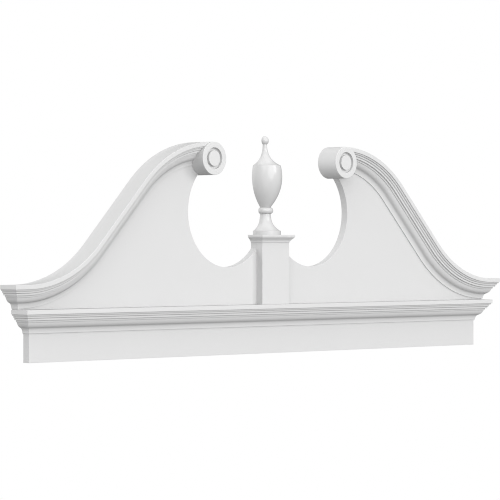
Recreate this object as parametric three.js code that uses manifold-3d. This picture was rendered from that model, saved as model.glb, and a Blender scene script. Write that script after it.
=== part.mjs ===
// A flat-backed swan's-neck pediment with scroll drums and a half-round urn, for over a door or window.
// Millimetres. X runs along the wall, +Y goes into the wall, +Z is up.
// The origin is on the wall plane, at the middle of the back of the frieze board.
import * as THREE from "three";
import { mergeVertices } from "three/addons/utils/BufferGeometryUtils.js";
import Module from "manifold-3d";

// Boards
const BOARD_THICKNESS = 19.05;
const FRIEZE_WIDTH = 1524;
const FRIEZE_HEIGHT = 116.8;

// Moulding section: projection from the board's face, and depth below the moulding's top
const MOULDING_PROJECTION = 34.9;
const MOULDING_HEIGHT = 54.8;
const FASCIA_HEIGHT = 9.8;
const OGEE_TOP_PROJECTION = 18.6;
const OGEE_TOP = 27.4;
const OGEE_ROUND_HANDLES = [17.6, 30.5, 15.6, 37];
const OGEE_MIDDLE_PROJECTION = 8.6;
const OGEE_MIDDLE = 39.6;
const OGEE_HOLLOW_HANDLES = [5.2, 40.9, 3.9, 44];
const OGEE_BOTTOM_PROJECTION = 2.8;
const OGEE_BOTTOM = 49;
const TOE_PROJECTION = 2.6;
const TOE_BOTTOM = 52.3;
const TOE_LIP_PROJECTION = 0.4;

// Its narrow faces under the fascia, each from its upper corner to its lower one
const FIRST_STEP = [32.5, 9.8, 31.2, 13.4];
const SECOND_STEP = [28.7, 13.5, 28.2, 17.4];
const FILLET = [25.5, 18.8, 25.2, 22.9];
const LISTEL = [21.2, 23, 20.6, 27.2];

// Swan necks, measured along their top edge; their foot stands back a little from the cornice's fascia
const NECK_SETBACK = 3;
const NECK_HOLLOW_RADIUS = 293;
const NECK_ROUND_RADIUS = 300;
const NECK_STOP_BEFORE_DRUM = 14;

// Scroll drums
const DRUM_RADIUS = 38.6;
const DRUM_DEPTH = 58.9;
const DRUM_CENTRE_X = 227.4;
const DRUM_CENTRE_Z = 459.1 - FRIEZE_HEIGHT / 2;
const DRUM_EDGE_ROUND = 1.2;
const GROOVE_OUTER_RADIUS = 25.2;
const GROOVE_INNER_RADIUS = 18;
const GROOVE_DEPTH = 6.4;
const GROOVE_CORNER = 1;

// Round cut-outs beside the pedestal
const CUTOUT_RADIUS = 130.2;
const CUTOUT_CENTRE_X = 144.3;
const CUTOUT_CENTRE_Z = 336.1 - FRIEZE_HEIGHT / 2;

// Pedestal, and its cap's section: projection from the block's face, and depth below the cap's top
const PEDESTAL_WIDTH = 92.6;
const PEDESTAL_BLOCK_THICKNESS = 19.05;
const PEDESTAL_TOP = 264.3 - FRIEZE_HEIGHT / 2;
const CAP_HEIGHT = 18;
const CAP_PROJECTION = 10.3;
const CAP_FASCIA_HEIGHT = 4.8;
const CAP_CYMA_TOP_PROJECTION = 9.7;
const CAP_CYMA_HANDLES = [8.8, 8.4, 3.4, 10.6];
const CAP_CYMA_BOTTOM_PROJECTION = 2.4;
const CAP_FILLET_PROJECTION = 1.4;
const CAP_FILLET_TOP = 14.6;

// Urn: radii, and heights above the top of the cap
const URN_BASE_RADIUS = 39.5;
const URN_BASE_HEIGHT = 10;
const URN_FLARE_RADIUS = 37;
const URN_FLARE_HANDLES = [19.8, 21.5, 16.5, 31];
const URN_NECK_RADIUS = 15;
const URN_NECK_TOP = 50.6;
const URN_COLLAR_RADIUS = 21.1;
const URN_COLLAR_TOP = 65.4;
const URN_BODY_BOTTOM_RADIUS = 16.4;
const URN_BODY_BOTTOM = 68;
const URN_BODY_HANDLES = [45.9, 104.6, 45.8, 140.4];
const URN_SHOULDER_RADIUS = 39.2;
const URN_SHOULDER = 165.8;
const URN_SPIRE_HANDLES = [17.8, 175.4, 7, 190];
const URN_SPIRE_RADIUS = 5.9;
const URN_SPIRE_TOP = 216.5;
const URN_BALL_RADIUS = 10.6;

// Play between curved pieces that meet, how far a cutting tool overshoots, and how finely curves are divided
const FITTING_GAP = 0.3;
const TOOL_OVERSHOOT = 100;
const MERGE_DISTANCE = 1e-4;
const CURVE_STEPS = 6;
const NECK_ARC_STEPS = 12;
const CUTOUT_STEPS = 30;
const ROUND_STEPS = 48;

// Sizes that follow from the driving ones
const FRIEZE_BOTTOM = -FRIEZE_HEIGHT / 2;
const CORNICE_TOP = FRIEZE_HEIGHT / 2;
const TYMPANUM_HALF_WIDTH = FRIEZE_WIDTH / 2 + MOULDING_PROJECTION - NECK_SETBACK;
const NECK_FOOT_TOP = CORNICE_TOP + MOULDING_HEIGHT;
const NECK_HEAD_TOP = DRUM_CENTRE_Z + DRUM_RADIUS;
const PEDESTAL_HALF_WIDTH = PEDESTAL_WIDTH / 2;
const PEDESTAL_FRONT = -BOARD_THICKNESS - PEDESTAL_BLOCK_THICKNESS;
const CAP_TOP = PEDESTAL_TOP + CAP_HEIGHT;

const wasm = await Module();
wasm.setup();

// Turning every triangle round where the surface encloses a negative volume leaves it facing outwards.
function facingOut(geometry) {
  const position = geometry.attributes.position;
  const index = geometry.index.array;
  const corners = [new THREE.Vector3(), new THREE.Vector3(), new THREE.Vector3()];
  let sixVolumes = 0;
  for (let i = 0; i < index.length; i += 3) {
    corners.forEach((corner, k) => corner.fromBufferAttribute(position, index[i + k]));
    sixVolumes += corners[0].dot(corners[1].clone().cross(corners[2]));
  }
  if (sixVolumes < 0) index.reverse();
  return geometry;
}

// A closed surface of shared vertices from any three.js geometry.
function closedSurface(geometry) {
  const bare = geometry.clone();
  bare.deleteAttribute("normal");
  bare.deleteAttribute("uv");
  return facingOut(mergeVertices(bare, MERGE_DISTANCE));
}

function toSolid(geometry) {
  const surface = closedSurface(geometry);
  const vertProperties = new Float32Array(surface.attributes.position.array);
  const triVerts = new Uint32Array(surface.index.array);
  return new wasm.Manifold(new wasm.Mesh({ numProp: 3, vertProperties, triVerts }));
}

// What is left of one geometry when another is taken away from it.
function cut(geometry, tool) {
  const mesh = toSolid(geometry).subtract(toSolid(tool)).getMesh();
  return new THREE.BufferGeometry()
    .setAttribute("position", new THREE.BufferAttribute(mesh.vertProperties, 3))
    .setIndex(new THREE.BufferAttribute(mesh.triVerts, 1));
}

// A solid through equal rings of points, closed at both ends by the flat, anticlockwise outline they follow.
function loft(rings, outline) {
  const size = outline.length;
  const positions = rings.flat().flatMap((point) => point.toArray());
  const index = [];
  for (let ring = 0; ring < rings.length - 1; ring++) {
    for (let i = 0; i < size; i++) {
      const a = ring * size + i;
      const b = ring * size + ((i + 1) % size);
      index.push(a, b, b + size, a, b + size, a + size);
    }
  }
  const lastRing = (rings.length - 1) * size;
  for (const [a, b, c] of THREE.ShapeUtils.triangulateShape(outline, [])) {
    index.push(a, c, b, lastRing + a, lastRing + b, lastRing + c);
  }
  const geometry = new THREE.BufferGeometry();
  geometry.setAttribute("position", new THREE.Float32BufferAttribute(positions, 3));
  geometry.setIndex(index);
  return closedSurface(geometry);
}

// The moulding's section, with x the projection and y the depth: fascia, narrow faces, ogee and toe.
function mouldingSection() {
  const section = new THREE.Path();
  section.moveTo(0, 0);
  section.lineTo(MOULDING_PROJECTION, 0);
  section.lineTo(MOULDING_PROJECTION, FASCIA_HEIGHT);
  for (const [upperOut, upperDown, lowerOut, lowerDown] of [FIRST_STEP, SECOND_STEP, FILLET, LISTEL]) {
    section.lineTo(upperOut, upperDown);
    section.lineTo(lowerOut, lowerDown);
  }
  section.lineTo(OGEE_TOP_PROJECTION, OGEE_TOP);
  section.bezierCurveTo(...OGEE_ROUND_HANDLES, OGEE_MIDDLE_PROJECTION, OGEE_MIDDLE);
  section.bezierCurveTo(...OGEE_HOLLOW_HANDLES, OGEE_BOTTOM_PROJECTION, OGEE_BOTTOM);
  section.lineTo(TOE_PROJECTION, TOE_BOTTOM);
  section.lineTo(TOE_LIP_PROJECTION, TOE_BOTTOM);
  section.lineTo(TOE_LIP_PROJECTION, MOULDING_HEIGHT);
  section.lineTo(0, MOULDING_HEIGHT);
  return section.getPoints(CURVE_STEPS);
}

// The section set at a point, leaning out along one direction and hanging down from another.
function sectionAt(section, base, out, up) {
  return section.map(({ x, y }) => base.clone().addScaledVector(out, x).addScaledVector(up, -y));
}

const WORLD_UP = new THREE.Vector3(0, 0, 1);

// The square start at the wall and the mitred corner of a moulding's return round a board's end.
function returnRings(section, halfWidth, top, side) {
  const atWall = new THREE.Vector3(side * halfWidth, 0, top);
  const atCorner = new THREE.Vector3(side * halfWidth, -BOARD_THICKNESS, top);
  return [
    sectionAt(section, atWall, new THREE.Vector3(side, 0, 0), WORLD_UP),
    sectionAt(section, atCorner, new THREE.Vector3(side, -1, 0), WORLD_UP),
  ];
}

// The top edge of the right-hand neck: a hollow arc, a straight and a round arc, level at both ends.
// Each station holds a distance from the centreline, a height, and the slope angle there.
function neckStations() {
  const run = TYMPANUM_HALF_WIDTH - DRUM_CENTRE_X;
  const rise = NECK_HEAD_TOP - NECK_FOOT_TOP;
  const radii = NECK_HOLLOW_RADIUS + NECK_ROUND_RADIUS;
  const spare = radii - rise;
  const sweep = Math.atan2(run, spare) - Math.acos(radii / Math.hypot(run, spare));
  const lastAngle = Math.asin(NECK_STOP_BEFORE_DRUM / NECK_ROUND_RADIUS);
  const stations = [];
  for (let i = 0; i <= NECK_ARC_STEPS; i++) {
    const angle = (sweep * i) / NECK_ARC_STEPS;
    stations.push({
      x: TYMPANUM_HALF_WIDTH - NECK_HOLLOW_RADIUS * Math.sin(angle),
      z: NECK_FOOT_TOP + NECK_HOLLOW_RADIUS * (1 - Math.cos(angle)),
      angle,
    });
  }
  for (let i = 0; i <= NECK_ARC_STEPS; i++) {
    const angle = sweep + ((lastAngle - sweep) * i) / NECK_ARC_STEPS;
    stations.push({
      x: DRUM_CENTRE_X + NECK_ROUND_RADIUS * Math.sin(angle),
      z: NECK_HEAD_TOP - NECK_ROUND_RADIUS * (1 - Math.cos(angle)),
      angle,
    });
  }
  return stations;
}

// The drum's cylinder with the fitting gap added, for taking out of what meets it.
function drumRoom(side) {
  const radius = DRUM_RADIUS + FITTING_GAP;
  const length = 2 * (DRUM_DEPTH + TOOL_OVERSHOOT);
  const room = new THREE.CylinderGeometry(radius, radius, length, ROUND_STEPS);
  room.translate(side * DRUM_CENTRE_X, 0, DRUM_CENTRE_Z);
  return room;
}

function friezeBoard() {
  const board = new THREE.BoxGeometry(FRIEZE_WIDTH, BOARD_THICKNESS, FRIEZE_HEIGHT);
  board.translate(0, -BOARD_THICKNESS / 2, FRIEZE_BOTTOM + FRIEZE_HEIGHT / 2);
  return board;
}

function corniceMoulding() {
  const section = mouldingSection();
  const left = returnRings(section, FRIEZE_WIDTH / 2, CORNICE_TOP, -1);
  const right = returnRings(section, FRIEZE_WIDTH / 2, CORNICE_TOP, 1);
  return loft([...left, ...right.reverse()], section);
}

function rakingMoulding(side) {
  const section = mouldingSection();
  const rings = returnRings(section, TYMPANUM_HALF_WIDTH, NECK_FOOT_TOP, side);
  for (const { x, z, angle } of neckStations().slice(1)) {
    const base = new THREE.Vector3(side * x, -BOARD_THICKNESS, z);
    const up = new THREE.Vector3(side * Math.sin(angle), 0, Math.cos(angle));
    rings.push(sectionAt(section, base, new THREE.Vector3(0, -1, 0), up));
  }
  return cut(loft(rings, section), drumRoom(side));
}

// Half of the tympanum board's outline, from the pedestal tongue's top to the foot of the outer end.
function tympanumHalfOutline() {
  const towardsTongue = CUTOUT_CENTRE_X - PEDESTAL_HALF_WIDTH;
  const firstAngle = Math.PI + Math.acos(towardsTongue / CUTOUT_RADIUS);
  const drumX = DRUM_CENTRE_X - CUTOUT_CENTRE_X;
  const drumZ = DRUM_CENTRE_Z - CUTOUT_CENTRE_Z;
  const lastAngle = 2 * Math.PI + Math.atan2(drumZ, drumX);
  const outline = [new THREE.Vector2(PEDESTAL_HALF_WIDTH, PEDESTAL_TOP)];
  for (let i = 0; i <= CUTOUT_STEPS; i++) {
    const angle = firstAngle + ((lastAngle - firstAngle) * i) / CUTOUT_STEPS;
    outline.push(new THREE.Vector2(
      CUTOUT_CENTRE_X + CUTOUT_RADIUS * Math.cos(angle),
      CUTOUT_CENTRE_Z + CUTOUT_RADIUS * Math.sin(angle),
    ));
  }
  for (const { x, z } of neckStations().reverse()) {
    outline.push(new THREE.Vector2(x, z));
  }
  outline.push(new THREE.Vector2(TYMPANUM_HALF_WIDTH, CORNICE_TOP));
  return outline;
}

function tympanumBoard() {
  const right = tympanumHalfOutline();
  const left = right.map(({ x, y }) => new THREE.Vector2(-x, y)).reverse();
  const board = new THREE.ExtrudeGeometry(new THREE.Shape([...right, ...left]), {
    depth: BOARD_THICKNESS,
    bevelEnabled: false,
  });
  board.rotateX(Math.PI / 2);
  return [-1, 1].reduce((rest, side) => cut(rest, drumRoom(side)), board);
}

// A turned drum lying front to back, with one round groove sunk in its face.
function scrollDrum(side) {
  const face = -DRUM_DEPTH;
  const grooveFloor = face + GROOVE_DEPTH;
  const grooveMiddle = (GROOVE_OUTER_RADIUS + GROOVE_INNER_RADIUS) / 2;
  const turned = [
    new THREE.Vector2(0, 0),
    new THREE.Vector2(DRUM_RADIUS, 0),
    new THREE.Vector2(DRUM_RADIUS, face + DRUM_EDGE_ROUND),
    new THREE.Vector2(DRUM_RADIUS - DRUM_EDGE_ROUND, face),
    new THREE.Vector2(GROOVE_OUTER_RADIUS, face),
    new THREE.Vector2(GROOVE_OUTER_RADIUS - GROOVE_CORNER, grooveFloor - GROOVE_CORNER),
    new THREE.Vector2(grooveMiddle, grooveFloor),
    new THREE.Vector2(GROOVE_INNER_RADIUS + GROOVE_CORNER, grooveFloor - GROOVE_CORNER),
    new THREE.Vector2(GROOVE_INNER_RADIUS, face),
    new THREE.Vector2(0, face),
  ];
  const drum = new THREE.LatheGeometry(turned, ROUND_STEPS);
  drum.translate(side * DRUM_CENTRE_X, 0, DRUM_CENTRE_Z);
  return drum;
}

function pedestalBlock() {
  const height = PEDESTAL_TOP - CORNICE_TOP;
  const block = new THREE.BoxGeometry(PEDESTAL_WIDTH, PEDESTAL_BLOCK_THICKNESS, height);
  block.translate(0, PEDESTAL_FRONT + PEDESTAL_BLOCK_THICKNESS / 2, CORNICE_TOP + height / 2);
  return block;
}

// The cap is widest at its top fascia and steps in through a small cyma and a fillet.
function pedestalCap() {
  const section = new THREE.Path();
  section.moveTo(CAP_PROJECTION, 0);
  section.lineTo(CAP_PROJECTION, CAP_FASCIA_HEIGHT);
  section.lineTo(CAP_CYMA_TOP_PROJECTION, CAP_FASCIA_HEIGHT);
  section.bezierCurveTo(...CAP_CYMA_HANDLES, CAP_CYMA_BOTTOM_PROJECTION, CAP_FILLET_TOP);
  section.lineTo(CAP_FILLET_PROJECTION, CAP_FILLET_TOP);
  section.lineTo(CAP_FILLET_PROJECTION, CAP_HEIGHT);
  const corners = [[1, 0], [1, 1], [-1, 1], [-1, 0]];
  const rings = section.getPoints(CURVE_STEPS).map(({ x, y }) =>
    corners.map(([across, front]) => new THREE.Vector3(
      across * (PEDESTAL_HALF_WIDTH + x), front * (PEDESTAL_FRONT - x), CAP_TOP - y,
    )));
  const plan = corners.map(([across, front]) => new THREE.Vector2(across, front));
  return loft(rings, plan);
}

// The urn's turned outline, x its radius and y its height: base, flare, collar, egg-shaped body, spire, ball.
function urnOutline() {
  const ballCentre = URN_SPIRE_TOP + Math.sqrt(URN_BALL_RADIUS ** 2 - URN_SPIRE_RADIUS ** 2);
  const ballStart = Math.asin((URN_SPIRE_TOP - ballCentre) / URN_BALL_RADIUS);
  const collarMiddle = (URN_NECK_TOP + URN_COLLAR_TOP) / 2;
  const collarHalf = (URN_COLLAR_TOP - URN_NECK_TOP) / 2;
  const collarOut = URN_COLLAR_RADIUS - URN_NECK_RADIUS;
  const half = new THREE.Path();
  half.moveTo(0, 0);
  half.lineTo(URN_BASE_RADIUS, 0);
  half.lineTo(URN_BASE_RADIUS, URN_BASE_HEIGHT);
  half.lineTo(URN_FLARE_RADIUS, URN_BASE_HEIGHT);
  half.bezierCurveTo(...URN_FLARE_HANDLES, URN_NECK_RADIUS, URN_NECK_TOP);
  half.absellipse(
    URN_NECK_RADIUS, collarMiddle, collarOut, collarHalf, -Math.PI / 2, Math.PI / 2, false,
  );
  half.lineTo(URN_BODY_BOTTOM_RADIUS, URN_BODY_BOTTOM);
  half.bezierCurveTo(...URN_BODY_HANDLES, URN_SHOULDER_RADIUS, URN_SHOULDER);
  half.bezierCurveTo(...URN_SPIRE_HANDLES, URN_SPIRE_RADIUS, URN_SPIRE_TOP);
  half.absarc(0, ballCentre, URN_BALL_RADIUS, ballStart, Math.PI / 2, false);
  const outline = half.getPoints(CURVE_STEPS);
  outline[outline.length - 1].x = 0;
  return outline;
}

// Half of a turned urn, flat at the wall.
function urnFinial() {
  const outline = urnOutline();
  const urnHeight = outline[outline.length - 1].y;
  const urn = new THREE.LatheGeometry(outline, ROUND_STEPS);
  urn.rotateX(Math.PI / 2);
  const width = 2 * (URN_BASE_RADIUS + TOOL_OVERSHOOT);
  const depth = URN_BASE_RADIUS + TOOL_OVERSHOOT;
  const behindWall = new THREE.BoxGeometry(width, depth, urnHeight + 2 * TOOL_OVERSHOOT);
  behindWall.translate(0, depth / 2, urnHeight / 2);
  return cut(urn, behindWall).translate(0, 0, CAP_TOP);
}

const pediment = new THREE.Group();

// One named sub-part in the same white satin finish.
function addPart(name, geometry) {
  const finish = new THREE.MeshStandardMaterial({ color: 0xe8e8e8, roughness: 0.45, metalness: 0 });
  const part = new THREE.Mesh(closedSurface(geometry), finish);
  part.name = name;
  pediment.add(part);
}

addPart("frieze_board", friezeBoard());
addPart("cornice_moulding", corniceMoulding());
addPart("tympanum_board", tympanumBoard());
addPart("pedestal_block", pedestalBlock());
addPart("pedestal_cap", pedestalCap());
addPart("urn_finial", urnFinial());
for (const [hand, side] of [["left", -1], ["right", 1]]) {
  addPart(`${hand}_raking_moulding`, rakingMoulding(side));
  addPart(`${hand}_scroll_drum`, scrollDrum(side));
}

export default pediment;
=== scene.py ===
"""Looks of a swan's-neck pediment: boards, mouldings, drums, pedestal and urn, all in white satin."""

import math

import bmesh
import bpy
from mathutils import Matrix, Vector
from mathutils.geometry import interpolate_bezier


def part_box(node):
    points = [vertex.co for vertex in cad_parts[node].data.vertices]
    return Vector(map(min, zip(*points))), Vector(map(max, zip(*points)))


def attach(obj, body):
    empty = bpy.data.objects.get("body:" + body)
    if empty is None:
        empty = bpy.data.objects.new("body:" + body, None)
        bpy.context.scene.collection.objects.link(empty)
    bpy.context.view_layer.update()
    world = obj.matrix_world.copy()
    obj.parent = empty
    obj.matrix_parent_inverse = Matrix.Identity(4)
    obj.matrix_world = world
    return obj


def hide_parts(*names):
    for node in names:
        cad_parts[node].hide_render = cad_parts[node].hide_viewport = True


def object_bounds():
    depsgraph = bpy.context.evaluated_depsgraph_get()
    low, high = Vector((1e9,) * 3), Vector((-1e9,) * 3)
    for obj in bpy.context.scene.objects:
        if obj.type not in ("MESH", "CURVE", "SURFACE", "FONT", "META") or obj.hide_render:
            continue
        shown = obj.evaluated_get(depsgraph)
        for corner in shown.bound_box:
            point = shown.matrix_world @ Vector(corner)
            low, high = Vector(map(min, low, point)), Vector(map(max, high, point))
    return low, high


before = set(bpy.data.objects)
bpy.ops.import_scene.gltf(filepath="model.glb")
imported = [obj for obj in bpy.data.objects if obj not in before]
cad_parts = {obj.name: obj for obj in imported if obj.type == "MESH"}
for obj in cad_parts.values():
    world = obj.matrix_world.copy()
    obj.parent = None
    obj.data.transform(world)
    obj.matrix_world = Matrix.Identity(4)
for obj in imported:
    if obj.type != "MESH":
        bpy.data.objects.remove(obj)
cad_low, cad_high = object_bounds()

MM = 0.001

# Camera, worked out from the photograph's vanishing lines
CAMERA_PLACE = (-4.6402, -4.4644, 0.2023)
CAMERA_TURN = math.radians(45.8)
CAMERA_LENS = 193.69
CAMERA_SENSOR = 36
CAMERA_SHIFT = -0.0122

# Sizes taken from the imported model
frieze_low, frieze_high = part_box("frieze_board")
cornice_low, cornice_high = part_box("cornice_moulding")
tympanum_low, tympanum_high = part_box("tympanum_board")
block_low, block_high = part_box("pedestal_block")
cap_low, cap_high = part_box("pedestal_cap")
drum_low, drum_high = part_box("right_scroll_drum")
BOARD_FRONT = frieze_low.y
MOULDING_OUT = cornice_high.x - frieze_high.x
MOULDING_TALL = cornice_high.z - cornice_low.z
NECK_FOOT = tympanum_low.z + MOULDING_TALL
NECK_HEAD = drum_high.z
DRUM_RADIUS = (drum_high.z - drum_low.z) / 2
DRUM_X = (drum_low.x + drum_high.x) / 2
DRUM_Z = (drum_low.z + drum_high.z) / 2
DRUM_FACE = drum_low.y
CAP_OUT = cap_high.x - block_high.x

# Moulding section: distance out from the board's face, and depth below the moulding's top
FASCIA_TALL = 9.8 * MM
FIRST_STEP = (Vector((32.5, 9.8)) * MM, Vector((31.2, 13.4)) * MM)
SECOND_STEP = (Vector((28.7, 13.5)) * MM, Vector((28.2, 17.4)) * MM)
FILLET = (Vector((25.5, 18.8)) * MM, Vector((25.2, 22.9)) * MM)
LISTEL = (Vector((21.2, 23)) * MM, Vector((20.6, 27.2)) * MM)
OGEE_TOP = Vector((18.6, 27.4)) * MM
OGEE_ROUND_HANDLES = (Vector((17.6, 30.5)) * MM, Vector((15.6, 37)) * MM)
OGEE_MIDDLE = Vector((8.6, 39.6)) * MM
OGEE_HOLLOW_HANDLES = (Vector((5.2, 40.9)) * MM, Vector((3.9, 44)) * MM)
OGEE_FOOT = Vector((2.8, 49)) * MM
TOE_FOOT = Vector((2.6, 52.3)) * MM
TOE_LIP = 0.4 * MM

# Swan necks, round cut-outs and drum grooves
NECK_OUTER = tympanum_high.x
NECK_HOLLOW_RADIUS = 293 * MM
NECK_ROUND_RADIUS = 300 * MM
NECK_STOP = 6 * MM
BOARD_STOP = 12 * MM
CUTOUT_X = 144.3 * MM
CUTOUT_Z = 277.7 * MM
CUTOUT_RADIUS = 130.2 * MM
DRUM_SEAM = 0.2 * MM
NOTCH_RADIUS = DRUM_RADIUS + DRUM_SEAM
SAW_REACH = 200 * MM
GROOVE_OUTER = 25.2 * MM
GROOVE_INNER = 18 * MM
GROOVE_DEPTH = 6.4 * MM
GROOVE_DRAFT = 0.5 * MM

# Pedestal cap section: distance out from the block's face, and depth below the cap's top
CAP_CYMA_TOP = Vector((9.7, 4.8)) * MM
CAP_CYMA_HANDLES = (Vector((8.8, 8.4)) * MM, Vector((3.4, 10.6)) * MM)
CAP_CYMA_FOOT = Vector((2.4, 14.6)) * MM
CAP_FILLET_OUT = 1.4 * MM

# Urn: radius, and height above the cap
URN_BASE_RADIUS = 39.5 * MM
URN_BASE_TALL = 10 * MM
URN_FLARE = Vector((37, 10)) * MM
URN_FLARE_HANDLES = (Vector((19.8, 21.5)) * MM, Vector((16.5, 31)) * MM)
URN_NECK = Vector((15, 50.6)) * MM
URN_COLLAR_OUT = 6.1 * MM
URN_COLLAR_HALF = 7.4 * MM
URN_BODY_FOOT = Vector((16.4, 68)) * MM
URN_BODY_HANDLES = (Vector((45.9, 104.6)) * MM, Vector((45.8, 140.4)) * MM)
URN_SHOULDER = Vector((39.2, 165.8)) * MM
URN_SPIRE_HANDLES = (Vector((17.8, 175.4)) * MM, Vector((7, 190)) * MM)
URN_SPIRE_TOP = Vector((5.9, 216.5)) * MM
URN_BALL_RADIUS = 10.6 * MM

# Softened edges, and how finely curves are divided
MOULDING_EDGE = 0.7 * MM
FILLET_EDGE = 0.3 * MM
BOARD_EDGE = 0.5 * MM
CAP_EDGE = 0.3 * MM
DRUM_EDGE = 1.2 * MM
GROOVE_EDGE = 0.5 * MM
URN_EDGE = 0.8 * MM
EDGE_SEGMENTS = 3
SHARP_ANGLE = math.radians(40)
CURVE_POINTS = 14
NECK_STEPS = 36
CUTOUT_STEPS = 72
NOTCH_STEPS = 48
TURNED_STEPS = 96
BALL_POINTS = 20
MERGE_DISTANCE = 0.01 * MM

# White finishes: brightest and dullest tone, smoothest and roughest gloss, size and depth of the peel
SHEET_FINISH = (0.81, 0.79, 0.44, 0.54, 1.4 * MM, 0.012 * MM)
TRIM_FINISH = (0.82, 0.80, 0.40, 0.50, 1.1 * MM, 0.012 * MM)
TURNED_FINISH = (0.84, 0.82, 0.40, 0.50, 1.1 * MM, 0.01 * MM)
CAST_FINISH = (0.78, 0.76, 0.15, 0.21, 0.9 * MM, 0.006 * MM)
FLOOR_FINISH = (0.97, 0.95, 0.80, 0.90, 30 * MM, 0.02 * MM)
SKIN_VALUES = ("Bright", "Dull", "Smoothest", "Roughest")
CLOUD_SIZE = 140 * MM
CLOUD_DETAIL = 3
GLOSS_PATCH_SIZE = 22 * MM
GLOSS_PATCH_DETAIL = 2
PEEL_DETAIL = 2
SAWN_MASK = "sawn"
SAWN_LIMIT = 0.5
SAWN_ROUGHNESS = 0.8
SAWN_PORE_SIZE = 0.5 * MM
SAWN_PORE_DEPTH = 0.06 * MM
SAWN_PORE_DETAIL = 4

# Floor a door's height below the frieze
FLOOR_DROP = 2.1
FLOOR_RADIUS = 16
FLOOR_SIDES = 96

# Studio lights: heading in degrees from the front towards the right, height, spread, strength,
# and whether the pieces pass the light on to each other
STUDIO_LIGHTS = {
    "high_softbox": (-45, 42, 50, 0.74, False),
    "front_softbox": (0, 14, 40, 0.96, False),
    "key_softbox": (31, 18, 22, 0.56, False),
    "ceiling_softbox": (0, 88, 80, 1.00, False),
    "backdrop_glow": (-140, 5, 60, 1.00, False),
    "camera_softbox": (-40, 2, 60, 0.56, True),
    "low_softbox": (-20, -55, 70, 0.13, False),
}
ROOM_LEVEL = 0.21

# How far each picture point gathers light, in points
POINT_WIDTH = 1.1


# Drawing helpers

def square(point):
    """A section point that keeps its sharp corner."""
    return (point[0], point[1], 0)


def curve(start, handles, end):
    """Section points along a smooth curve, both ends included."""
    points = interpolate_bezier(start, handles[0], handles[1], end, CURVE_POINTS)
    return [square(point) for point in points]


def arc(centre, across, up, first, last, count):
    """Section points along part of an oval, both ends included."""
    points = []
    for i in range(count):
        angle = first + (last - first) * i / (count - 1)
        points.append((centre[0] + across * math.cos(angle), centre[1] + up * math.sin(angle), 0))
    return points


def draw_section(bm, section, place, closed):
    """Draw a section as a chain of edges and round the corners that ask for it."""
    points = [bm.verts.new(place(first, second)) for first, second, rounding in section]
    followers = points[1:]
    if closed:
        followers = followers + points[:1]
    for point, follower in zip(points, followers):
        bm.edges.new((point, follower))
    for width in sorted({corner[2] for corner in section if corner[2]}):
        corners = [point for point, corner in zip(points, section) if corner[2] == width]
        bmesh.ops.bevel(bm, geom=corners, offset=width, affect="VERTICES", segments=EDGE_SEGMENTS,
                        profile=0.5, material=-1)
    return list(bm.edges)


def corners_of(edges):
    """The points that a ring of edges runs through, each of them once."""
    return list(dict.fromkeys(point for edge in edges for point in edge.verts))


def edges_in(geometry):
    """The edges among what an operator gives back."""
    return [item for item in geometry if isinstance(item, bmesh.types.BMEdge)]


def points_in(geometry):
    """The points among what an operator gives back."""
    return [item for item in geometry if isinstance(item, bmesh.types.BMVert)]


def pull(bm, ring):
    """Carry a ring of edges on by one span and return the new ring, still lying on the old one."""
    return edges_in(bmesh.ops.extrude_edge_only(bm, edges=ring)["geom"])


def swing(bm, ring, centre, axis, angle, steps):
    """Carry a ring of edges round a centre and return the ring it ends at."""
    swung = bmesh.ops.spin(bm, geom=ring + corners_of(ring), cent=centre, axis=axis, angle=angle,
                           steps=steps)
    return edges_in(swung["geom_last"])


def return_to_wall(bm, ring):
    """Carry a mitred ring back to the wall and close its end."""
    at_wall = pull(bm, ring)
    bmesh.ops.scale(bm, verts=corners_of(at_wall), vec=(1, 0, 1))
    bmesh.ops.edgeloop_fill(bm, edges=at_wall)


def mark_sawn(bm):
    """Mask the edges that a saw has left: every face of a sheet but its front and back."""
    bm.normal_update()
    mask = bm.faces.layers.float.new(SAWN_MASK)
    for face in bm.faces:
        face[mask] = 1 if abs(face.normal.y) < SAWN_LIMIT else 0


def soften(bm, width):
    """Ease every hard edge by a small round."""
    bm.normal_update()
    hard = [edge for edge in bm.edges if edge.is_manifold and edge.calc_face_angle() > SHARP_ANGLE]
    bmesh.ops.bevel(bm, geom=hard, offset=width, affect="EDGES", segments=EDGE_SEGMENTS,
                    profile=0.5, material=-1)


def close_up(bm):
    """Merge the seams of a swept shape and turn its faces outwards."""
    bmesh.ops.remove_doubles(bm, verts=bm.verts, dist=MERGE_DISTANCE)
    bmesh.ops.recalc_face_normals(bm, faces=bm.faces)


def other_hand(bm):
    """Turn a right-hand piece into a left-hand one."""
    bmesh.ops.scale(bm, vec=(-1, 1, 1), verts=bm.verts)
    bmesh.ops.recalc_face_normals(bm, faces=bm.faces)


def loose_object(name, bm):
    """An object in the scene that holds a shape."""
    mesh = bpy.data.meshes.new(name)
    bm.to_mesh(mesh)
    piece = bpy.data.objects.new(name, mesh)
    bpy.context.scene.collection.objects.link(piece)
    return piece


def cope(bm, tool):
    """Saw the tool's shape out of a piece."""
    stock = loose_object("cope_stock", bm)
    saw = loose_object("cope_saw", tool)
    sawing = stock.modifiers.new("sawing", "BOOLEAN")
    sawing.operation = "DIFFERENCE"
    sawing.solver = "EXACT"
    sawing.object = saw
    worked = stock.evaluated_get(bpy.context.evaluated_depsgraph_get())
    sawn = bpy.data.meshes.new_from_object(worked)
    bm.clear()
    bm.from_mesh(sawn)
    for used in (stock, saw):
        bpy.data.meshes.remove(used.data)
    bpy.data.meshes.remove(sawn)


# Shapes

def board(low, high):
    """A plain sawn board with eased edges."""
    bm = bmesh.new()
    bmesh.ops.create_cube(bm, size=1)
    bmesh.ops.scale(bm, vec=high - low, verts=bm.verts)
    bmesh.ops.translate(bm, vec=(low + high) / 2, verts=bm.verts)
    mark_sawn(bm)
    soften(bm, BOARD_EDGE)
    return bm


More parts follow.
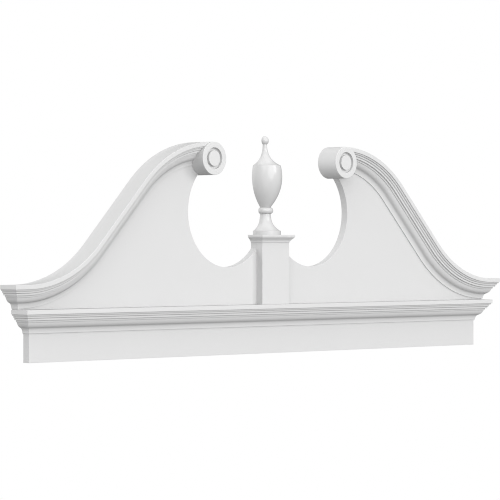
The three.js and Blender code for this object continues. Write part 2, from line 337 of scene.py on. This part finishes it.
def moulding_section():
    """The moulding from its top: fascia, two small steps, fillet, listel, ogee and toe."""
    section = [
        (0, 0, 0),
        (MOULDING_OUT, 0, MOULDING_EDGE),
        (MOULDING_OUT, FASCIA_TALL, FILLET_EDGE),
    ]
    for head, foot in (FIRST_STEP, SECOND_STEP, FILLET, LISTEL):
        section.append(square(head))
        section.append((foot.x, foot.y, FILLET_EDGE))
    section.extend(curve(OGEE_TOP, OGEE_ROUND_HANDLES, OGEE_MIDDLE))
    section.extend(curve(OGEE_MIDDLE, OGEE_HOLLOW_HANDLES, OGEE_FOOT)[1:])
    section.append((TOE_FOOT.x, TOE_FOOT.y, FILLET_EDGE))
    section.append((TOE_LIP, TOE_FOOT.y, 0))
    section.append((TOE_LIP, MOULDING_TALL, 0))
    section.append((0, MOULDING_TALL, 0))
    return section


def mitre(half_width, front):
    """The move from a square cut at the middle of a face to a 45 degree mitre at its right-hand end."""
    lean = Matrix.Identity(4)
    lean[0][1] = -1
    return Matrix.Translation((half_width + front, 0, 0)) @ lean


def returned_moulding(section, half_width, front, top):
    """A level moulding across a face, returned to the wall at both ends."""
    bm = bmesh.new()
    right = draw_section(bm, section, lambda out, down: (0, front - out, top - down), True)
    bmesh.ops.transform(bm, matrix=mitre(half_width, front), verts=bm.verts)
    left = pull(bm, right)
    bmesh.ops.scale(bm, vec=(-1, 1, 1), verts=corners_of(left))
    return_to_wall(bm, right)
    return_to_wall(bm, left)
    close_up(bm)
    return bm


def cornice():
    """The level moulding round the top of the frieze."""
    return returned_moulding(moulding_section(), frieze_high.x, BOARD_FRONT, cornice_high.z)


def neck_sweep():
    """How far each arc of a neck turns, and the straight between the two arcs."""
    run = NECK_OUTER - DRUM_X
    rise = NECK_HEAD - NECK_FOOT
    radii = NECK_HOLLOW_RADIUS + NECK_ROUND_RADIUS
    reach = math.hypot(run, radii - rise)
    turn = math.atan2(run, radii - rise) - math.acos(radii / reach)
    straight = math.sqrt(reach ** 2 - radii ** 2)
    return turn, straight


def along_neck(bm, ring):
    """Carry a ring of edges up the right-hand neck: hollow arc, straight, round arc."""
    turn, straight = neck_sweep()
    hollow = (NECK_OUTER, 0, NECK_FOOT + NECK_HOLLOW_RADIUS)
    crown = (DRUM_X, 0, NECK_HEAD - NECK_ROUND_RADIUS)
    end_lean = math.asin(NECK_STOP / NECK_ROUND_RADIUS)
    ring = swing(bm, ring, hollow, (0, 1, 0), turn, NECK_STEPS)
    ring = pull(bm, ring)
    climb = Vector((-math.cos(turn), 0, math.sin(turn))) * straight
    bmesh.ops.translate(bm, vec=climb, verts=corners_of(ring))
    return swing(bm, ring, crown, (0, 1, 0), end_lean - turn, NECK_STEPS)


def drum_room():
    """The drum's round with a hair of seam, longer than any piece is deep."""
    bm = bmesh.new()
    bmesh.ops.create_cone(bm, cap_ends=True, segments=TURNED_STEPS, radius1=NOTCH_RADIUS,
                          radius2=NOTCH_RADIUS, depth=SAW_REACH)
    bmesh.ops.rotate(bm, verts=bm.verts, matrix=Matrix.Rotation(math.pi / 2, 3, "X"))
    bmesh.ops.translate(bm, vec=(DRUM_X, 0, DRUM_Z), verts=bm.verts)
    return bm


def raking_moulding():
    """The right-hand neck's moulding, returned to the wall at its foot and coped to the drum."""
    bm = bmesh.new()
    ring = draw_section(bm, moulding_section(),
                        lambda out, down: (NECK_OUTER, BOARD_FRONT - out, NECK_FOOT - down), True)
    head = along_neck(bm, ring)
    bmesh.ops.edgeloop_fill(bm, edges=head)
    corner = pull(bm, ring)
    bmesh.ops.transform(bm, matrix=mitre(0, BOARD_FRONT), verts=corners_of(corner))
    return_to_wall(bm, corner)
    close_up(bm)
    saw = drum_room()
    cope(bm, saw)
    saw.free()
    return bm


def line_to(bm, point, x, z):
    """Carry an outline on in a straight line and return the new point."""
    follower = bmesh.ops.extrude_vert_indiv(bm, verts=[point])["verts"][0]
    follower.co = (x, 0, z)
    return follower


def arc_to(bm, point, centre_x, centre_z, angle, steps):
    """Carry an outline on round a centre and return the new point."""
    swung = bmesh.ops.spin(bm, geom=[point], cent=(centre_x, 0, centre_z), axis=(0, 1, 0), angle=angle,
                           steps=steps)
    return points_in(swung["geom_last"])[0]


def angle_about(point, centre_x, centre_z):
    """The direction of an outline's point seen from a centre."""
    return math.atan2(point.co.z - centre_z, point.co.x - centre_x)


def half_outline(bm):
    """Draw the right half of the tympanum, from the middle of its foot round to the top of its tongue."""
    turn, straight = neck_sweep()
    point = bm.verts.new((0, 0, tympanum_low.z))
    point = line_to(bm, point, NECK_OUTER, tympanum_low.z)
    point = line_to(bm, point, NECK_OUTER, NECK_FOOT)
    point = arc_to(bm, point, NECK_OUTER, NECK_FOOT + NECK_HOLLOW_RADIUS, turn, NECK_STEPS)
    climb_x = straight * math.cos(turn)
    climb_z = straight * math.sin(turn)
    point = line_to(bm, point, point.co.x - climb_x, point.co.z + climb_z)
    end_lean = math.asin(BOARD_STOP / NECK_ROUND_RADIUS)
    point = arc_to(bm, point, DRUM_X, NECK_HEAD - NECK_ROUND_RADIUS, end_lean - turn, NECK_STEPS)
    notch_rise = math.sqrt(NOTCH_RADIUS ** 2 - (point.co.x - DRUM_X) ** 2)
    point = line_to(bm, point, point.co.x, DRUM_Z + notch_rise)
    between = Vector((DRUM_X - CUTOUT_X, DRUM_Z - CUTOUT_Z))
    gap = between.length
    meeting = math.acos((CUTOUT_RADIUS ** 2 + gap ** 2 - NOTCH_RADIUS ** 2) / (2 * CUTOUT_RADIUS * gap))
    meeting_angle = math.atan2(between.y, between.x) - meeting
    meeting_x = CUTOUT_X + CUTOUT_RADIUS * math.cos(meeting_angle)
    meeting_z = CUTOUT_Z + CUTOUT_RADIUS * math.sin(meeting_angle)
    notch_turn = angle_about(point, DRUM_X, DRUM_Z) - math.atan2(meeting_z - DRUM_Z, meeting_x - DRUM_X)
    point = arc_to(bm, point, DRUM_X, DRUM_Z, notch_turn, NOTCH_STEPS)
    tongue_angle = math.acos((block_high.x - CUTOUT_X) / CUTOUT_RADIUS)
    point = arc_to(bm, point, CUTOUT_X, CUTOUT_Z, meeting_angle + tongue_angle, CUTOUT_STEPS)
    point = line_to(bm, point, block_high.x, block_high.z)
    line_to(bm, point, 0, block_high.z)


def tympanum():
    """The board behind the necks: S-curved top, notches for the drums, round cut-outs and a tongue."""
    bm = bmesh.new()
    half_outline(bm)
    bmesh.ops.mirror(bm, geom=bm.verts[:] + bm.edges[:], matrix=Matrix.Identity(4),
                     merge_dist=MERGE_DISTANCE, axis="X")
    bmesh.ops.remove_doubles(bm, verts=bm.verts, dist=MERGE_DISTANCE)
    face = bmesh.ops.edgeloop_fill(bm, edges=bm.edges)["faces"]
    front = bmesh.ops.extrude_face_region(bm, geom=face)["geom"]
    bmesh.ops.translate(bm, vec=(0, BOARD_FRONT, 0), verts=points_in(front))
    bmesh.ops.recalc_face_normals(bm, faces=bm.faces)
    mark_sawn(bm)
    soften(bm, BOARD_EDGE)
    return bm


def scroll_drum():
    """The right-hand drum, turned about a line from front to back, with a groove round its face."""
    bm = bmesh.new()
    groove_floor = DRUM_FACE + GROOVE_DEPTH
    profile = [
        (0, 0, 0),
        (DRUM_RADIUS, 0, 0),
        (DRUM_RADIUS, DRUM_FACE, DRUM_EDGE),
        (GROOVE_OUTER, DRUM_FACE, GROOVE_EDGE),
        (GROOVE_OUTER - GROOVE_DRAFT, groove_floor, GROOVE_EDGE),
        (GROOVE_INNER + GROOVE_DRAFT, groove_floor, GROOVE_EDGE),
        (GROOVE_INNER, DRUM_FACE, GROOVE_EDGE),
        (0, DRUM_FACE, 0),
    ]
    outline = draw_section(bm, profile, lambda radius, depth: (DRUM_X + radius, depth, DRUM_Z), False)
    bmesh.ops.spin(bm, geom=outline + corners_of(outline), cent=(DRUM_X, 0, DRUM_Z), axis=(0, 1, 0),
                   angle=2 * math.pi, steps=TURNED_STEPS, use_merge=True)
    close_up(bm)
    return bm


def pedestal_cap():
    """The cap: a fascia, a small cyma and a fillet, worked on a slab that runs back to the wall."""
    tall = cap_high.z - cap_low.z
    section = [
        (block_low.y, 0, 0),
        (CAP_OUT, 0, CAP_EDGE),
        (CAP_OUT, CAP_CYMA_TOP.y, CAP_EDGE),
        *curve(CAP_CYMA_TOP, CAP_CYMA_HANDLES, CAP_CYMA_FOOT),
        (CAP_FILLET_OUT, CAP_CYMA_FOOT.y, 0),
        (CAP_FILLET_OUT, tall, CAP_EDGE),
        (block_low.y, tall, 0),
    ]
    return returned_moulding(section, block_high.x, block_low.y, cap_high.z)


def urn_profile():
    """The urn's turned outline: base, flared neck, collar, body, spire and ball."""
    collar_middle = (URN_NECK.x, URN_NECK.y + URN_COLLAR_HALF)
    lift = math.sqrt(URN_BALL_RADIUS ** 2 - URN_SPIRE_TOP.x ** 2)
    ball_centre = (0, URN_SPIRE_TOP.y + lift)
    ball_start = -math.atan2(lift, URN_SPIRE_TOP.x)
    quarter = math.pi / 2
    return [
        (0, 0, 0),
        (URN_BASE_RADIUS, 0, 0),
        (URN_BASE_RADIUS, URN_BASE_TALL, URN_EDGE),
        *curve(URN_FLARE, URN_FLARE_HANDLES, URN_NECK),
        *arc(collar_middle, URN_COLLAR_OUT, URN_COLLAR_HALF, -quarter, quarter, BALL_POINTS)[1:],
        *curve(URN_BODY_FOOT, URN_BODY_HANDLES, URN_SHOULDER),
        *curve(URN_SHOULDER, URN_SPIRE_HANDLES, URN_SPIRE_TOP)[1:],
        *arc(ball_centre, URN_BALL_RADIUS, URN_BALL_RADIUS, ball_start, quarter, BALL_POINTS)[1:-1],
        (0, ball_centre[1] + URN_BALL_RADIUS, 0),
    ]


def urn():
    """Half of a turned urn with its flat side on the wall."""
    bm = bmesh.new()
    outline = draw_section(bm, urn_profile(), lambda radius, height: (radius, 0, cap_high.z + height),
                           False)
    bmesh.ops.spin(bm, geom=outline + corners_of(outline), cent=(0, 0, 0), axis=(0, 0, 1), angle=-math.pi,
                   steps=TURNED_STEPS)
    bmesh.ops.remove_doubles(bm, verts=bm.verts, dist=MERGE_DISTANCE)
    bmesh.ops.edgeloop_fill(bm, edges=[edge for edge in bm.edges if edge.is_boundary])
    bmesh.ops.recalc_face_normals(bm, faces=bm.faces)
    return bm


# Finishes

def add_node(tree, kind, **settings):
    """A node with its settings."""
    node = tree.nodes.new(kind)
    for name, value in settings.items():
        setattr(node, name, value)
    return node


def noise_at(tree, coordinates, size, detail):
    """Cloudy noise on a piece's own coordinates, with lumps of about the given size."""
    noise = add_node(tree, "ShaderNodeTexNoise")
    noise.inputs["Detail"].default_value = detail
    noise.inputs["Scale"].default_value = 1 / size
    tree.links.new(coordinates, noise.inputs["Vector"])
    return noise.outputs["Fac"]


def wander(tree, noise, first, second):
    """A value that wanders between two others as a noise does."""
    between = add_node(tree, "ShaderNodeMapRange")
    tree.links.new(noise, between.inputs["Value"])
    tree.links.new(first, between.inputs["To Min"])
    tree.links.new(second, between.inputs["To Max"])
    return between.outputs["Result"]


def satin_skin():
    """Shared skin of the white finishes: faint clouding of tone and an uneven gloss."""
    tree = bpy.data.node_groups.new("satin_skin", "ShaderNodeTree")
    sockets = tree.interface
    for name in SKIN_VALUES:
        sockets.new_socket(name, in_out="INPUT", socket_type="NodeSocketFloat")
    sockets.new_socket("Color", in_out="OUTPUT", socket_type="NodeSocketColor")
    sockets.new_socket("Roughness", in_out="OUTPUT", socket_type="NodeSocketFloat")
    given = add_node(tree, "NodeGroupInput")
    made = add_node(tree, "NodeGroupOutput")
    place = add_node(tree, "ShaderNodeTexCoord").outputs["Object"]

    clouds = noise_at(tree, place, CLOUD_SIZE, CLOUD_DETAIL)
    tone = wander(tree, clouds, given.outputs["Bright"], given.outputs["Dull"])
    white = add_node(tree, "ShaderNodeCombineColor")
    for channel in ("Red", "Green", "Blue"):
        tree.links.new(tone, white.inputs[channel])
    tree.links.new(white.outputs["Color"], made.inputs["Color"])

    patches = noise_at(tree, place, GLOSS_PATCH_SIZE, GLOSS_PATCH_DETAIL)
    gloss = wander(tree, patches, given.outputs["Smoothest"], given.outputs["Roughest"])
    tree.links.new(gloss, made.inputs["Roughness"])
    return tree


SATIN_SKIN = satin_skin()


def relief(tree, height, depth):
    """A bump of a noise's height over the surface."""
    bump = add_node(tree, "ShaderNodeBump")
    bump.inputs["Distance"].default_value = depth
    tree.links.new(height, bump.inputs["Height"])
    return bump


def white_satin(name, values):
    """A white finish: the shared skin at its own values, with a fine orange peel."""
    *skin_values, peel_size, peel_depth = values
    finish = bpy.data.materials.new(name)
    finish.use_nodes = True
    tree = finish.node_tree
    shader = tree.nodes["Principled BSDF"]
    skin = add_node(tree, "ShaderNodeGroup", name="skin", node_tree=SATIN_SKIN)
    for value_name, value in zip(SKIN_VALUES, skin_values):
        skin.inputs[value_name].default_value = value
    tree.links.new(skin.outputs["Color"], shader.inputs["Base Color"])
    tree.links.new(skin.outputs["Roughness"], shader.inputs["Roughness"])
    place = add_node(tree, "ShaderNodeTexCoord", name="place").outputs["Object"]
    peel = relief(tree, noise_at(tree, place, peel_size, PEEL_DETAIL), peel_depth)
    peel.name = "peel"
    tree.links.new(peel.outputs["Normal"], shader.inputs["Normal"])
    return finish


def saw_edges(finish):
    """Let a sheet's sawn edges show: dry, with fine open pores, where the piece's own mask says so."""
    tree = finish.node_tree
    shader = tree.nodes["Principled BSDF"]
    sawn = add_node(tree, "ShaderNodeAttribute", attribute_name=SAWN_MASK).outputs["Fac"]
    dry = add_node(tree, "ShaderNodeMix")
    dry.inputs["B"].default_value = SAWN_ROUGHNESS
    tree.links.new(sawn, dry.inputs["Factor"])
    tree.links.new(tree.nodes["skin"].outputs["Roughness"], dry.inputs["A"])
    tree.links.new(dry.outputs["Result"], shader.inputs["Roughness"])
    pores = noise_at(tree, tree.nodes["place"].outputs["Object"], SAWN_PORE_SIZE, SAWN_PORE_DETAIL)
    masked = add_node(tree, "ShaderNodeMath", operation="MULTIPLY")
    tree.links.new(pores, masked.inputs[0])
    tree.links.new(sawn, masked.inputs[1])
    open_pores = relief(tree, masked.outputs["Value"], SAWN_PORE_DEPTH)
    tree.links.new(tree.nodes["peel"].outputs["Normal"], open_pores.inputs["Normal"])
    tree.links.new(open_pores.outputs["Normal"], shader.inputs["Normal"])


sheet_white = white_satin("sheet_white", SHEET_FINISH)
saw_edges(sheet_white)
trim_white = white_satin("trim_white", TRIM_FINISH)
turned_white = white_satin("turned_white", TURNED_FINISH)
cast_white = white_satin("cast_white", CAST_FINISH)


# Pieces on the frame

def add_piece(name, bm, finish, node):
    """Put a finished shape in the scene in place of its plain solid."""
    for face in bm.faces:
        face.smooth = True
    piece = loose_object(name, bm)
    bm.free()
    piece.data.set_sharp_from_angle(angle=SHARP_ANGLE)
    piece.data.materials.append(finish)
    normals = piece.modifiers.new("even_shading", "WEIGHTED_NORMAL")
    normals.keep_sharp = True
    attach(piece, "root")
    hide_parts(node)


add_piece("frieze", board(frieze_low, frieze_high), sheet_white, "frieze_board")
add_piece("cornice", cornice(), trim_white, "cornice_moulding")
add_piece("tympanum", tympanum(), sheet_white, "tympanum_board")
add_piece("pedestal", board(block_low, block_high), sheet_white, "pedestal_block")
add_piece("cap", pedestal_cap(), trim_white, "pedestal_cap")
add_piece("urn", urn(), cast_white, "urn_finial")
for hand in ("left", "right"):
    neck = raking_moulding()
    drum = scroll_drum()
    if hand == "left":
        other_hand(neck)
        other_hand(drum)
    add_piece(hand + "_neck", neck, trim_white, hand + "_raking_moulding")
    add_piece(hand + "_drum", drum, turned_white, hand + "_scroll_drum")


# Floor

def pale_floor():
    """A plain pale floor that the camera sees, and that throws no light up on the piece."""
    bm = bmesh.new()
    bmesh.ops.create_circle(bm, cap_ends=True, radius=FLOOR_RADIUS, segments=FLOOR_SIDES)
    bmesh.ops.translate(bm, vec=(0, 0, cad_low.z - FLOOR_DROP), verts=bm.verts)
    floor = loose_object("floor", bm)
    bm.free()
    floor.data.materials.append(white_satin("floor_pale", FLOOR_FINISH))
    floor.visible_diffuse = False
    floor.visible_glossy = False
    floor.visible_shadow = False


pale_floor()


# Light of a white studio

def softbox(name, heading, height, spread, strength, passed_on):
    """A far, broad light; one that isn't passed on lights what it reaches and no more."""
    light = bpy.data.lights.new(name, "SUN")
    light.energy = strength
    light.angle = math.radians(spread)
    if not passed_on:
        light.cycles.max_bounces = 0
    lamp = bpy.data.objects.new(name, light)
    lamp.rotation_euler = (math.radians(90 - height), 0, math.radians(heading))
    bpy.context.scene.collection.objects.link(lamp)


def white_room():
    """An even glow all round, with a plain white background for the camera."""
    world = bpy.data.worlds.new("white_room")
    world.use_nodes = True
    bpy.context.scene.world = world
    tree = world.node_tree
    tree.nodes.clear()
    room = add_node(tree, "ShaderNodeBackground")
    room.inputs["Strength"].default_value = ROOM_LEVEL
    backdrop = add_node(tree, "ShaderNodeBackground")
    seen = add_node(tree, "ShaderNodeLightPath")
    chosen = add_node(tree, "ShaderNodeMixShader")
    tree.links.new(seen.outputs["Is Camera Ray"], chosen.inputs["Fac"])
    tree.links.new(room.outputs["Background"], chosen.inputs[1])
    tree.links.new(backdrop.outputs["Background"], chosen.inputs[2])
    for shade in (room, backdrop):
        shade.inputs["Color"].default_value = (1, 1, 1, 1)
    output = add_node(tree, "ShaderNodeOutputWorld")
    tree.links.new(chosen.outputs["Shader"], output.inputs["Surface"])


for light_name, settings in STUDIO_LIGHTS.items():
    softbox(light_name, *settings)
white_room()
bpy.context.scene.view_settings.view_transform = "Standard"
bpy.context.scene.view_settings.look = "None"
bpy.context.scene.cycles.filter_width = POINT_WIDTH

# Camera
lens = bpy.data.cameras.new("camera")
lens.lens = CAMERA_LENS
lens.sensor_width = CAMERA_SENSOR
lens.shift_y = CAMERA_SHIFT
camera = bpy.data.objects.new("camera", lens)
camera.location = CAMERA_PLACE
camera.rotation_euler = (math.pi / 2, 0, -CAMERA_TURN)
bpy.context.scene.collection.objects.link(camera)
bpy.context.scene.camera = camera
